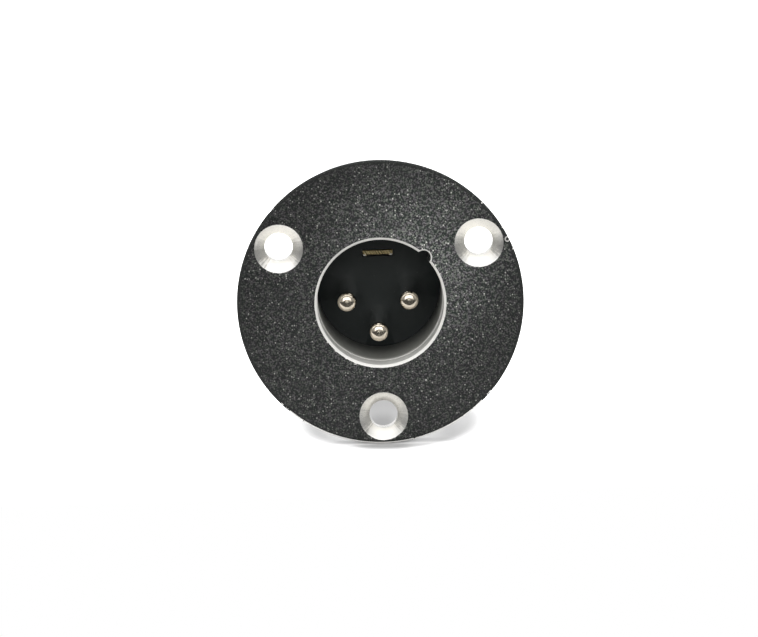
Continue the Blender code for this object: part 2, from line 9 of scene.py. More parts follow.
# %% Load the frame
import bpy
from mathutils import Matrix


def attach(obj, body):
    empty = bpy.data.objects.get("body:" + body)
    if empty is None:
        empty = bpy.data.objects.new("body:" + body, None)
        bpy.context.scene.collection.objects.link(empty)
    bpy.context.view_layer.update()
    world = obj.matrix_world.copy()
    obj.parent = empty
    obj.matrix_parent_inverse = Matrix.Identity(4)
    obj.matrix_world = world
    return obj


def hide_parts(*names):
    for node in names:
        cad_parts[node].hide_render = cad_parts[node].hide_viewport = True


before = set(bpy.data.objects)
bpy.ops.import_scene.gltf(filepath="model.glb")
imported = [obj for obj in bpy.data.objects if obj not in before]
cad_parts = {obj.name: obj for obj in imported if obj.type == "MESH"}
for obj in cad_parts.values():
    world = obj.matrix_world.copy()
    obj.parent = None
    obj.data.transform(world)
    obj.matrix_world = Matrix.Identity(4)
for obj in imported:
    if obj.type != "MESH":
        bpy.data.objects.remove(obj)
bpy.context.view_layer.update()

import math

import bmesh
import bpy
from mathutils import Matrix, Vector

print("CAD nodes:", sorted(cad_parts))

# %% [markdown]
# ## Sizes
# The pieces repeat the sizes of the CAD source, because a finer piece has to lie where its
# solid lies. Depths run along +Y from the panel face, and radii from the connector's axis.

# %% Sizes that several pieces share
MM = 0.001
FACE = -3.0 * MM  # front of the flange
FLANGE_RADIUS = 17.9 * MM
RIM_TAPER = 0.3 * MM  # radius that the rim loses from front to rear
BORE_RADIUS = 7.85 * MM
LEAD_IN_RADIUS = 7.91 * MM
LEAD_IN_END = 0.3 * MM
MOUTH_CHAMFER = 0.3 * MM
COUNTERBORE_RADIUS = 8.35 * MM
SHOULDER = 10.9 * MM  # rear end of the bore
BARREL_END = 18.6 * MM
BARREL_FRONT_RADIUS = 9.9 * MM
BARREL_REAR_RADIUS = 9.57 * MM
HOLE_CIRCLE = 14.4 * MM
HOLE_RADIUS = 1.775 * MM
SINK_RADIUS = 3.0 * MM
SINK_SLOPE = math.tan(math.radians(41))
FIRST_HOLE = math.radians(30)
HOLE_STEP = math.radians(120)
KEYWAY_ANGLE = math.radians(45)
KEYWAY_RADIUS = 0.8 * MM
KEYWAY_CIRCLE = 7.8 * MM
KEYWAY_END = 8.0 * MM
INSULATOR_FACE = 9.9 * MM
INSULATOR_REAR = 15.6 * MM
INDEX_ANGLE = math.radians(225)
PIN_CIRCLE = 3.88 * MM
PIN_RADIUS = 1.2 * MM
COLLAR_RADIUS = 1.75 * MM
COLLAR_SEAT = 12.3 * MM  # step in the insulator that the collars stop on
FIT = 0.1 * MM  # clearance round pieces that seat on each other
MARGIN = 0.5 * MM  # how far a cutter reaches past what it cuts
SCREW_DEPTH = 13.2 * MM
SCREW_RADIUS = 1.25 * MM
SHARP = math.radians(30)
print("holes stand", round(HOLE_CIRCLE / MM, 3), "mm from the axis")

# %% [markdown]
# ## Wires and trees
# Materials and geometry trees are both node trees. Writing them as node after node hides
# the sums that they stand for. A wire is one socket that can be added, multiplied and
# compared like a number, and a tree adds the nodes that such an expression needs.


# %% A socket that works in sums
class Wire:
    """One output socket; sums of wires add Math nodes to the tree."""

    def __init__(self, tree, socket):
        self.tree = tree
        self.socket = socket

    def also(self, output):
        """Another output of the same node."""
        return Wire(self.tree, self.socket.node.outputs[output])

    def __add__(self, other):
        return self.tree.math("ADD", self, other)

    def __sub__(self, other):
        return self.tree.math("SUBTRACT", self, other)

    def __mul__(self, other):
        return self.tree.math("MULTIPLY", self, other)

    def __truediv__(self, other):
        return self.tree.math("DIVIDE", self, other)

    def __pow__(self, other):
        return self.tree.math("POWER", self, other)

    def __rsub__(self, other):
        return self.tree.math("SUBTRACT", other, self)

    def __rtruediv__(self, other):
        return self.tree.math("DIVIDE", other, self)

    def __lt__(self, other):
        return self.tree.math("LESS_THAN", self, other)

    def __gt__(self, other):
        return self.tree.math("GREATER_THAN", self, other)

    __radd__ = __add__
    __rmul__ = __mul__


# %% A node tree that takes expressions
class Tree:
    """A node tree with one way to add a node: its type, its settings, then its sockets."""

    def __init__(self, nodes_and_links):
        self.tree = nodes_and_links

    def node(self, kind, settings=(), inputs=(), output=0):
        made = self.tree.nodes.new(kind)
        for name, value in dict(settings).items():
            setattr(made, name, value)
        for key, value in dict(inputs).items():
            if isinstance(value, Wire):
                self.tree.links.new(value.socket, made.inputs[key])
            else:
                made.inputs[key].default_value = value
        return Wire(self, made.outputs[output]) if made.outputs else made

    def math(self, operation, *values):
        return self.node("ShaderNodeMath", {"operation": operation}, enumerate(values))

    def xyz(self, vector):
        """The three parts of a vector."""
        parts = self.node("ShaderNodeSeparateXYZ", inputs={0: vector})
        return parts, parts.also(1), parts.also(2)

    def vector(self, x, y, z):
        return self.node("ShaderNodeCombineXYZ", inputs=enumerate((x, y, z)))

    def smooth(self, value, low, high):
        """0 below low, 1 above high, smooth between them. Turned round if low is above high."""
        return self.node(
            "ShaderNodeMapRange",
            {"interpolation_type": "SMOOTHSTEP"},
            {"Value": value, "From Min": low, "From Max": high},
        )


# %% [markdown]
# ## Turned pieces
# The shell, the insulator, the contacts and the locking screw are all round pieces, which a
# lathe makes from one profile. They could be spun one by one in mesh code. A geometry tree
# says the rule once: a grid of points whose rows follow the profile and whose columns go
# round the axis. A profile point holds a radius, a depth and a thread weight, so that the
# same tree also cuts the thread of the locking screw.


# %% The lathe, as a geometry tree
def new_geometry_tree(name, inputs):
    """An empty geometry tree with named inputs; returns it with wires for the inputs."""
    group = bpy.data.node_groups.new(name, "GeometryNodeTree")
    for label, kind in inputs:
        group.interface.new_socket(name=label, in_out="INPUT", socket_type=kind)
    group.interface.new_socket(
        name="Geometry", in_out="OUTPUT", socket_type="NodeSocketGeometry"
    )
    tree = Tree(group)
    given = tree.node("NodeGroupInput")
    return tree, {label: given.also(label) for label, kind in inputs}


def close_geometry_tree(tree, geometry, material):
    """Realize Instances, Set Material and the group's output."""
    whole = tree.node("GeometryNodeRealizeInstances", inputs={0: geometry})
    dressed = tree.node(
        "GeometryNodeSetMaterial", inputs={"Geometry": whole, "Material": material}
    )
    tree.node("NodeGroupOutput", inputs={0: dressed})
    return tree.tree


def lathe_tree():
    tree, given = new_geometry_tree(
        "turned_from_profile",
        [
            ("Profile", "NodeSocketObject"),
            ("Sides", "NodeSocketInt"),
            ("Thread Pitch", "NodeSocketFloat"),
            ("Thread Depth", "NodeSocketFloat"),
            ("Material", "NodeSocketMaterial"),
        ],
    )
    profile = tree.node(
        "GeometryNodeObjectInfo", inputs={"Object": given["Profile"]}, output="Geometry"
    )
    rows = tree.node("GeometryNodeAttributeDomainSize", inputs={0: profile})
    sides = given["Sides"]
    grid = tree.node(
        "GeometryNodeMeshGrid", inputs={"Vertices X": sides + 1, "Vertices Y": rows}
    )
    index = tree.node("GeometryNodeInputIndex")
    column = tree.math("FLOOR", index / rows)
    point = tree.node(
        "GeometryNodeSampleIndex",
        {"data_type": "FLOAT_VECTOR"},
        {
            "Geometry": profile,
            "Value": tree.node("GeometryNodeInputPosition"),
            "Index": index - column * rows,
        },
    )
    radius, depth, weight = tree.xyz(point)
    turn = column / sides
    thread = tree.math("PINGPONG", depth / given["Thread Pitch"] + turn, 0.5) * 2
    radius = radius - thread * weight * given["Thread Depth"]
    angle = turn * math.tau
    place = tree.vector(
        radius * tree.math("COSINE", angle), depth, radius * tree.math("SINE", angle)
    )
    turned_grid = tree.node(
        "GeometryNodeSetPosition", inputs={"Geometry": grid, "Position": place}
    )
    welded = tree.node(
        "GeometryNodeMergeByDistance", inputs={"Geometry": turned_grid, "Distance": 1e-7}
    )
    return close_geometry_tree(tree, welded, given["Material"])


LATHE = lathe_tree()
print("lathe tree has", len(LATHE.nodes), "nodes")

# %% [markdown]
# ## From modifiers to a plain mesh
# A piece is finished when it is one plain mesh at the origin. These helpers run a geometry
# tree or a stack of modifiers and keep only the mesh that comes out.


# %% Helpers that make plain meshes
def link(name, mesh):
    made = bpy.data.objects.new(name, mesh)
    bpy.context.scene.collection.objects.link(made)
    return made


def remove(*objects):
    for made in objects:
        bpy.data.objects.remove(made)


def settle(piece):
    """Replace the piece's mesh by what its modifiers make of it, in place."""
    bpy.context.view_layer.update()
    depsgraph = bpy.context.evaluated_depsgraph_get()
    mesh = bpy.data.meshes.new_from_object(piece.evaluated_get(depsgraph))
    piece.modifiers.clear()
    piece.data = mesh
    mesh.transform(piece.matrix_world)
    piece.matrix_world = Matrix.Identity(4)
    mesh.name = piece.name
    return piece


def run_tree(piece, tree, inputs):
    """Run a geometry tree on a piece; the inputs are given by name."""
    modifier = piece.modifiers.new(tree.name, "NODES")
    modifier.node_group = tree
    identifiers = {
        item.name: item.identifier
        for item in tree.interface.items_tree
        if item.in_out == "INPUT"
    }
    for name, value in inputs.items():
        modifier[identifiers[name]] = value
    return settle(piece)


def tidy_faces(piece):
    """Weld the mesh and turn its faces outward."""
    shape = bmesh.new()
    shape.from_mesh(piece.data)
    bmesh.ops.remove_doubles(shape, verts=shape.verts, dist=1e-7)
    bmesh.ops.dissolve_degenerate(shape, edges=shape.edges, dist=1e-8)
    bmesh.ops.recalc_face_normals(shape, faces=shape.faces)
    shape.to_mesh(piece.data)
    shape.free()
    return piece


def turned(name, profile, sides, closed=False, pitch=1.0, thread=0.0):
    """Turn a profile of (radius, depth) or (radius, depth, thread weight) points."""
    points = [(*point, 0.0)[:3] for point in profile]
    if closed:
        points.append(points[0])
    drawing = bpy.data.meshes.new(name + "_profile")
    drawing.from_pydata(points, [], [])
    drawn = link(name + "_profile", drawing)
    piece = link(name, bpy.data.meshes.new(name))
    settings = {
        "Profile": drawn,
        "Sides": sides,
        "Thread Pitch": pitch,
        "Thread Depth": thread,
    }
    run_tree(piece, LATHE, settings)
    remove(drawn)
    return tidy_faces(piece)


def arc(centre, radius, start, end, steps):
    """Points of an arc in a profile; angles in degrees."""
    points = []
    for step in range(steps + 1):
        angle = math.radians(start + (end - start) * step / steps)
        points.append(
            (centre[0] + radius * math.cos(angle), centre[1] + radius * math.sin(angle))
        )
    return points


def polar(angle, radius, depth=0.0):
    """A point at an angle round the axis, seen from the front."""
    return Vector((radius * math.cos(angle), depth, radius * math.sin(angle)))


def box(name, size, centre, angle=math.radians(90), edge=0.0):
    """A box whose Z side points out at an angle round the axis."""
    shape = bmesh.new()
    bmesh.ops.create_cube(shape, size=1.0, matrix=Matrix.Diagonal((*size, 1.0)))
    if edge:
        bmesh.ops.bevel(
            shape, geom=shape.edges, offset=edge, segments=3, profile=0.5, affect="EDGES"
        )
    turn = Matrix.Rotation(math.radians(90) - angle, 4, "Y")
    shape.transform(Matrix.Translation(centre) @ turn)
    mesh = bpy.data.meshes.new(name)
    shape.to_mesh(mesh)
    shape.free()
    return link(name, mesh)


def combine(piece, tools, operation="DIFFERENCE"):
    """Cut tools out of a piece, or join them to it, and remove the tools."""
    for tool in tools:
        step = piece.modifiers.new(tool.name, "BOOLEAN")
        step.operation = operation
        step.object = tool
        step.solver = "EXACT"
    settle(piece)
    remove(*tools)
    return piece


def shade(piece, material):
    """Smooth shading that stays crisp at edges and flat on flat faces."""
    piece.data.materials.clear()
    piece.data.materials.append(material)
    piece.data.shade_smooth()
    piece.data.set_sharp_from_angle(angle=SHARP)
    even = piece.modifiers.new("Even shading", "WEIGHTED_NORMAL")
    even.keep_sharp = True
    settle(piece)
    print(piece.name, "has", len(piece.data.vertices), "points")
    return piece


def seat(piece, slot, *nodes):
    """Hand a finished piece to the frame."""
    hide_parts(*nodes)
    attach(piece, "root")
    return piece


# %% [markdown]
# ## Tools for finishes
# Every finish is worked out from the point's place in the piece, in millimetres. A finish
# adds up three things: a colour, a roughness and a height in millimetres for the bump.


# %% Helpers that materials share
class Finish(Tree):
    """A new material with the point's place in millimetres, and shorthands for texture."""

    def __init__(self, name):
        self.material = bpy.data.materials.new(name)
        self.material.use_nodes = True
        super().__init__(self.material.node_tree)
        self.shader = self.tree.nodes["Principled BSDF"]
        place = self.node("ShaderNodeTexCoord", output="Object")
        self.place = self.node(
            "ShaderNodeVectorMath",
            {"operation": "SCALE"},
            {"Vector": place, "Scale": 1 / MM},
        )
        self.x, self.y, self.z = self.xyz(self.place)

    def noise(self, size, detail=2.0, place=None):
        """Soft noise from 0 to 1 whose features are about size millimetres across."""
        return self.node(
            "ShaderNodeTexNoise",
            inputs={"Vector": place or self.place, "Scale": 1 / size, "Detail": detail},
        )

    def cells(self, size, place=None):
        """Distance to the middle of each cell; its Color output is random for each cell."""
        return self.node(
            "ShaderNodeTexVoronoi", inputs={"Vector": place or self.place, "Scale": 1 / size}
        )

    def line_noise(self, value, size, detail=2.0):
        """Noise along one number only, for rings and grooves."""
        return self.node(
            "ShaderNodeTexNoise",
            {"noise_dimensions": "1D"},
            {"W": value, "Scale": 1 / size, "Detail": detail},
        )

    def blend(self, mask, one, other):
        """Colour one where the mask is 0 and other where it is 1."""
        wires = {0: mask, 6: one, 7: other}
        colours = {
            key: value if isinstance(value, Wire) or key == 0 else (*value, 1.0)
            for key, value in wires.items()
        }
        return self.node("ShaderNodeMix", {"data_type": "RGBA"}, colours, output=2)

    def distance(self, *parts):
        """Length of a vector with these parts."""
        total = parts[0] * parts[0]
        for part in parts[1:]:
            total = total + part * part
        return total**0.5

    def finish(self, colour, roughness, metallic, height=None):
        """Feed the shader. The height is in millimetres."""
        values = {"Base Color": colour, "Roughness": roughness, "Metallic": metallic}
        if height is not None:
            values["Normal"] = self.node(
                "ShaderNodeBump", inputs={"Strength": 1.0, "Distance": MM, "Height": height}
            )
        for name, value in values.items():
            if isinstance(value, Wire):
                self.tree.links.new(value.socket, self.shader.inputs[name])
            else:
                self.shader.inputs[name].default_value = value
        return self.material


# %% [markdown]
# ## The shell's finish
# The real casting has a dark coat with a fine bright speckle, like bead-blasted pearl
# paint. The countersinks, the mouth of the socket and its lead-in were machined after the
# coat, so they are bare bright metal with the marks of the cutter. Two materials with a
# hard seam would look like two pieces. One material with a mask, whose edge is roughened
# by noise, gives the ragged edge that a cutter leaves in paint. A pool of light is painted
# on the coat up and to the right of the socket, and the coat is darker towards the rim. The
# lower edge of the rim is worn, and a painted highlight runs along it.


# %% Where the shell is bare metal
def near_hole(t):
    """Distance to the nearest screw hole, its two parts, and how far below its middle."""
    radius = t.distance(t.x, t.z)
    angle = t.math("ARCTAN2", t.z, t.x)
    start = FIRST_HOLE - HOLE_STEP / 2
    folded = t.math("FLOORED_MODULO", angle - start, HOLE_STEP) - HOLE_STEP / 2
    along = radius * t.math("COSINE", folded) - HOLE_CIRCLE / MM
    across = radius * t.math("SINE", folded)
    middle = angle - folded
    drop = t.math("SINE", middle) * (HOLE_CIRCLE / MM) - t.z
    return t.distance(along, across), along, across, drop


NICKS = (  # x, z and reach in millimetres: chips at the mouth, on the face and near the rim
    (-5.73, -5.87, 0.16),
    (-4.46, -6.86, 0.13),
    (-3.33, -7.56, 0.18),
    (-6.75, -4.75, 0.10),
    (12.95, 12.17, 0.10),
    (15.43, 9.05, 0.10),
    (16.67, 6.31, 0.09),
    (8.50, 11.40, 0.12),
    (5.42, -9.95, 0.11),
)
RING_DENT = (16.0, 7.55, 0.28)  # x, z and radius of a round mark near the rim


def chips(t):
    """1 inside the chips in the coat."""
    total = None
    ragged = (t.noise(0.2, 2.0) - 0.5) * 0.15
    for x, z, reach in NICKS:
        spot = t.smooth(t.distance(t.x - x, t.z - z) + ragged, reach + 0.04, reach - 0.04)
        total = spot if total is None else t.math("MAXIMUM", total, spot)
    x, z, radius = RING_DENT
    ring = t.math("ABSOLUTE", t.distance(t.x - x, t.z - z) - radius)
    mark = t.smooth(ring + ragged * 0.5, 0.10, 0.04)
    return t.math("MAXIMUM", total, mark * 0.8)


# %% The shell's material
def shell_material():
    t = Finish("dark_speckled_casting")
    radius = t.distance(t.x, t.z)
    hole, along, across, drop = near_hole(t)
    ragged = (t.noise(0.25, 3.0) - 0.5) * 0.1
    key_x, _, key_z = polar(KEYWAY_ANGLE, KEYWAY_CIRCLE / MM)
    keyway = t.distance(t.x - key_x, t.z - key_z)
    edge = LEAD_IN_RADIUS / MM + MOUTH_CHAMFER / MM + 0.02

    sink_end = -1.45  # a little behind the small end of the countersink
    sink = (hole + ragged < SINK_RADIUS / MM + 0.04) * (t.y < sink_end)
    drilled = hole < HOLE_RADIUS / MM + 0.02
    mouth = (radius + ragged < edge) * (t.y < SHOULDER / MM + 1)
    key_mouth = (keyway + ragged < KEYWAY_RADIUS / MM + 0.28) * (t.y < KEYWAY_END / MM + 1)
    inside = (radius < COUNTERBORE_RADIUS / MM + 0.03) * (t.y > SHOULDER / MM - 0.1)
    rim_front = (radius > FLANGE_RADIUS / MM - 0.21) * (t.y + ragged < -2.6)
    # the front edge of the rim: worn paint in patches, and along the bottom an almost unbroken
    # bright band that is a painted highlight
    rim_wear_and_painted_highlight = rim_front * (t.noise(0.8, 3.0) > 0.34 + t.smooth(t.z, -16.0, -9.0) * 0.4)
    rim_wear_and_highlight_dull = rim_wear_and_painted_highlight * 0.80  # worn paint, not cut metal, made diffuse so the painted highlight on the rim shows bright
    bare = t.math("MAXIMUM", sink, drilled)
    for part in (mouth, key_mouth, inside, rim_wear_and_painted_highlight, chips(t) * (t.y + ragged < -2.45)):
        bare = t.math("MAXIMUM", bare, part)

    grain = t.smooth(t.noise(0.21, 3.0), 0.42, 0.72)
    patches = t.smooth(t.noise(3.0, 2.0), 0.35, 0.75)
    green = t.blend(grain, (0.009, 0.013, 0.011), (0.120, 0.127, 0.112))
    violet = t.blend(grain, (0.012, 0.012, 0.013), (0.124, 0.119, 0.122))
    coat = t.blend(t.smooth(t.noise(0.6, 1.0), 0.42, 0.58), green, violet)
    cell = t.cells(0.27)
    chance, _, _ = t.xyz(cell.also("Color"))
    flake = t.smooth(cell, 0.45, 0.12) * t.smooth(chance, 0.80, 1.0)
    coat = t.blend(flake * 0.9, coat, (0.58, 0.58, 0.54))
    coat = t.blend(patches * 0.3, coat, (0.022, 0.024, 0.023))
    # painted light: a pool of light is painted on the coat up and to the right of the socket; the
    # coat is also made darker towards the rim
    painted_light_pool = t.smooth(t.distance(t.x - 5.0, t.z - 6.0), 16.0, 0.0) * (t.y < -2)
    tone = 0.966 + painted_light_pool * 1.79 - t.smooth(radius, 9.0, 17.0) * 0.233
    coat = t.node(
        "ShaderNodeVectorMath",
        {"operation": "SCALE"},
        {"Vector": coat, "Scale": tone},
    )
    # painted shade: the rounded front edge of the rim is painted darker, and made rougher
    rim_round_painted_dark = t.smooth(radius, FLANGE_RADIUS / MM - 0.55, FLANGE_RADIUS / MM - 0.30)
    coat = t.blend(rim_round_painted_dark * 0.75, coat, (0.020, 0.022, 0.021))

    rings = t.line_noise(hole, 0.12, 1.0)
    whiskers = t.line_noise(t.math("ARCTAN2", across, along), 0.10, 1.0)
    chatter = t.noise(0.9, 3.0)
    bore = (radius < BORE_RADIUS / MM + 0.42) * (t.y < SHOULDER / MM)
    bore = t.math("MAXIMUM", bore, key_mouth)
    # painted shade inside the socket: the wall behind the lead-in is painted darker and is
    # rougher, and further in it is painted darker still towards the insulator
    deeper_wall_painted_shade = t.smooth(t.y, -0.5, 2.0) * bore
    painted_shade_deep_in_bore = t.smooth(t.y, 1.5, 9.5) * bore
    bright = t.blend(chatter, (0.80, 0.79, 0.755), (0.93, 0.92, 0.885))
    # painted reflections in the countersinks: grey sectors to the lower left and right of each
    # hole, and white below it as a painted highlight
    low = drop / hole + (chatter - 0.5) * 0.6 + (whiskers - 0.5) * 0.5
    sink_painted_dark_reflection = t.smooth(low, 0.75, 0.40) * t.smooth(low, -0.8, 0.1)
    sink_painted_dark_reflection = sink_painted_dark_reflection * 0.7 + t.smooth(t.noise(0.13, 2.0), 0.5, 0.8) * 0.5
    sink_painted_reflections = t.blend(sink_painted_dark_reflection, (0.90, 0.88, 0.83), (0.36, 0.36, 0.35))
    sink_painted_reflections = t.blend(t.smooth(low, 0.60, 0.80), sink_painted_reflections, (0.98, 0.97, 0.94))
    metal = t.blend(sink, bright, sink_painted_reflections)
    metal = t.blend(rim_wear_and_painted_highlight, metal, (0.95, 0.94, 0.91))
    metal = t.blend(deeper_wall_painted_shade, metal, (0.31, 0.31, 0.29))
    metal = t.blend(painted_shade_deep_in_bore * 0.85, metal, (0.060, 0.063, 0.060))
    # painted shade: the inside of the keyway is painted near black
    keyway_painted_shade = (keyway < KEYWAY_RADIUS / MM + 0.12) * (t.y > FACE / MM + 0.17)
    metal = t.blend(keyway_painted_shade * 0.95, metal, (0.030, 0.032, 0.030))
    turning = t.line_noise(t.y, 0.09, 2.0) * bore

    colour = t.blend(bare, coat, metal)
    roughness = 0.45 + bare * (chatter * 0.14 - 0.31) + deeper_wall_painted_shade * 0.3 + rim_round_painted_dark * 0.4
    roughness = roughness + sink * 0.16
    coat_height = (grain * 0.012 + flake * 0.01) * (1 - bare)
    marks = rings * 0.0015 + whiskers * 0.012
    metal_height = (marks * (hole < SINK_RADIUS / MM + 0.3) + turning * 0.004) * bare
    height = coat_height + metal_height - bare * 0.01
    t.shader.inputs["Specular IOR Level"].default_value = 0.3
    metallic = 0.15 + bare * 0.80 - bore * bare * 0.90 - rim_wear_and_highlight_dull
    return t.finish(colour, roughness, metallic, height)


SHELL_FINISH = shell_material()
print("shell material has", len(SHELL_FINISH.node_tree.nodes), "nodes")

# %% [markdown]
# ## The shell
# The flange and barrel are one casting. Its section is turned in one go, and then the
# countersinks, the keyway, the latch window and the hole for the locking screw are cut,
# as they are in the factory. The cutters flare a little at the surface, which leaves the
# thin broken edge that catches the light round each countersink.


# %% Section of the shell
def shell_profile():
    rim = FLANGE_RADIUS
    front = (rim - 0.4 * MM, FACE + 0.4 * MM)
    rear = (rim - RIM_TAPER - 0.2 * MM, -0.2 * MM)
    root = (BARREL_FRONT_RADIUS - 0.007 * MM + 0.4 * MM, 0.4 * MM)
    end = (BARREL_REAR_RADIUS - 0.4 * MM, BARREL_END - 0.4 * MM)
    mouth = LEAD_IN_RADIUS + MOUTH_CHAMFER
    profile = [(mouth + 0.03 * MM, FACE), (mouth + 2.5 * MM, FACE), (rim - 3 * MM, FACE)]
    profile += arc(front, 0.4 * MM, -90, 0, 10)
    profile += arc(rear, 0.2 * MM, 0, 90, 5)
    profile += arc(root, 0.4 * MM, 270, 180, 8)
    profile += arc(end, 0.4 * MM, 0, 90, 8)
    inner = COUNTERBORE_RADIUS
    profile += arc((inner + 0.15 * MM, BARREL_END - 0.15 * MM), 0.15 * MM, 90, 180, 4)
    profile += [
        (inner, SHOULDER),
        (BORE_RADIUS + 0.05 * MM, SHOULDER),
        (BORE_RADIUS, SHOULDER - 0.05 * MM),
        (BORE_RADIUS, 5.5 * MM),
        (BORE_RADIUS, LEAD_IN_END + 0.06 * MM),
        (LEAD_IN_RADIUS, LEAD_IN_END),
        (LEAD_IN_RADIUS, FACE + MOUTH_CHAMFER + 0.04 * MM),
        (LEAD_IN_RADIUS + 0.03 * MM, FACE + MOUTH_CHAMFER - 0.01 * MM),
        (mouth - 0.01 * MM, FACE + 0.03 * MM),
    ]
    return profile


# %% Cutters for the shell
def countersink(index):
    floor = FACE + (SINK_RADIUS - HOLE_RADIUS) / SINK_SLOPE
    profile = [
        (0.0, FACE - MARGIN),
        (SINK_RADIUS + 0.06 * MM, FACE - MARGIN),
        (SINK_RADIUS + 0.06 * MM, FACE - 0.001 * MM),
        (SINK_RADIUS - 0.03 * MM, FACE + 0.05 * MM),
        (HOLE_RADIUS, floor),
        (HOLE_RADIUS, MARGIN),
        (0.0, MARGIN),
    ]
    cutter = turned(f"countersink_{index}", profile, 96)
    cutter.data.transform(
        Matrix.Translation(polar(FIRST_HOLE + HOLE_STEP * index, HOLE_CIRCLE))
    )
    return cutter


def keyway():
    profile = [
        (0.0, FACE - MARGIN),
        (KEYWAY_RADIUS + 0.26 * MM + MARGIN, FACE - MARGIN),
        (KEYWAY_RADIUS + 0.11 * MM, FACE + 0.15 * MM),
        (KEYWAY_RADIUS + 0.09 * MM, FACE + 0.22 * MM),
        (KEYWAY_RADIUS, FACE + 2.0 * MM),
        (KEYWAY_RADIUS, KEYWAY_END - 0.3 * MM),
    ]
    centre = (KEYWAY_RADIUS - 0.3 * MM, KEYWAY_END - 0.3 * MM)
    profile += arc(centre, 0.3 * MM, 0, 90, 5)
    profile.append((0.0, KEYWAY_END))
    cutter = turned("keyway", profile, 96)
    cutter.data.transform(Matrix.Translation(polar(KEYWAY_ANGLE, KEYWAY_CIRCLE)))
    return cutter


def pointing_down(piece, depth):
    """Turn a piece that was made along +Y so that it points down, at a depth."""
    turn = Matrix.Rotation(math.radians(-90), 4, "X")
    piece.data.transform(Matrix.Translation((0.0, depth, 0.0)) @ turn)
    return piece


def locking_screw_hole():
    radius = SCREW_RADIUS + FIT
    profile = [(0.0, 8.0 * MM), (radius, 8.0 * MM), (radius, 10.4 * MM), (0.0, 10.4 * MM)]
    return pointing_down(turned("locking_screw_hole", profile, 64), SCREW_DEPTH)


def latch_window():
    shape = bmesh.new()
    bmesh.ops.create_cube(
        shape, size=1.0, matrix=Matrix.Diagonal((5 * MM, 3.2 * MM, 4 * MM, 1.0))
    )
    upright = [e for e in shape.edges if abs(e.verts[0].co.z - e.verts[1].co.z) > MM]
    bmesh.ops.bevel(
        shape, geom=upright, offset=0.6 * MM, segments=10, profile=0.5, affect="EDGES"
    )
    shape.transform(Matrix.Translation((0.0, 3.2 * MM, 8.9 * MM)))
    mesh = bpy.data.meshes.new("latch_window")
    shape.to_mesh(mesh)
    shape.free()
    return link("latch_window", mesh)


# %% [markdown]
# The casting took a few knocks. Each dent pulls the points near it inward, so the outline
# shows it too. The deepest ones are on the rim, where the photograph shows the outline
# broken.


# %% Dents in the rim
DENTS = (  # angle in degrees, depth and half width in millimetres
    (138.0, 0.10, 0.75),
    (43.2, 0.07, 0.45),
    (30.4, 0.08, 0.40),
    (20.7, 0.05, 0.40),
    (197.0, 0.04, 0.6),
)


def dent_rim(piece):
    for vertex in piece.data.vertices:
        radius = math.hypot(vertex.co.x, vertex.co.z)
        if radius < FLANGE_RADIUS - 0.4 * MM:
            continue
        for angle, depth, width in DENTS:
            gap = (vertex.co - polar(math.radians(angle), radius, FACE)).length / MM
            if gap < width:
                pull = depth * MM * (1 - (gap / width) ** 2) ** 2
                vertex.co.x *= 1 - pull / radius
                vertex.co.z *= 1 - pull / radius


# %% Make the shell
def index_rib():
    inner = 7.65 * MM
    wall = COUNTERBORE_RADIUS + 0.1 * MM
    size = (1.6 * MM, 6.6 * MM, wall - inner)
    centre = polar(INDEX_ANGLE, (inner + wall) / 2, 14.1 * MM)
    return box("index_rib", size, centre, INDEX_ANGLE, edge=0.06 * MM)


shell = turned("shell_casting", shell_profile(), 360, closed=True)
dent_rim(shell)
combine(shell, [index_rib()], "UNION")
cutters = [countersink(i) for i in range(3)]
cutters += [keyway(), latch_window(), locking_screw_hole()]
combine(shell, cutters)
tidy_faces(shell)
seat(shade(shell, SHELL_FINISH), "shell", "shell")

# %% [markdown]
# ## The insulator
# A black moulding carries the contacts. It is turned and cut like the shell. Moulded
# plastic is never quite even: it has a faint flow texture and a soft sheen, which only a
# small bump and an uneven roughness bring out on black.


# %% The insulator's material
def insulator_material():
    t = Finish("black_moulding")
    flow = t.noise(1.4, 3.0)
    fine = t.noise(0.12, 2.0)
    dust = t.cells(0.5)
    chance, _, _ = t.xyz(dust.also("Color"))
    speck = t.smooth(dust, 0.14, 0.04) * (chance > 0.93)
    colour = t.blend(flow, (0.0038, 0.0072, 0.0068), (0.0066, 0.0112, 0.0106))
    colour = t.blend(speck * 0.5, colour, (0.10, 0.10, 0.095))
    t.shader.inputs["Specular IOR Level"].default_value = 0.35
    return t.finish(colour, 0.38 + flow * 0.2, 0.0, fine * 0.004 + flow * 0.012)


INSULATOR_FINISH = insulator_material()


# %% Make the insulator
def contact_hole(angle):
    pin = PIN_RADIUS - 0.01 * MM
    collar = COLLAR_RADIUS + FIT
    profile = [
        (0.0, INSULATOR_FACE - MARGIN),
        (pin, INSULATOR_FACE - MARGIN),
        (pin, COLLAR_SEAT),
        (collar, COLLAR_SEAT),
        (collar, INSULATOR_REAR - 0.1 * MM),
        (collar + 0.1 * MM, INSULATOR_REAR + 0.001 * MM),
        (collar + 0.1 * MM, INSULATOR_REAR + MARGIN),
        (0.0, INSULATOR_REAR + MARGIN),
    ]
    cutter = turned("contact_hole", profile, 64)
    cutter.data.transform(Matrix.Translation(polar(angle, PIN_CIRCLE)))
    return cutter


CONTACT_ANGLES = [math.radians(degrees) for degrees in (180, 270, 360)]
STRIP_FRONT = 9.7 * MM
STRIP_HEIGHT = 4.37 * MM
STRIP_THICKNESS = 0.5 * MM
LIP_DROP = 0.18 * MM


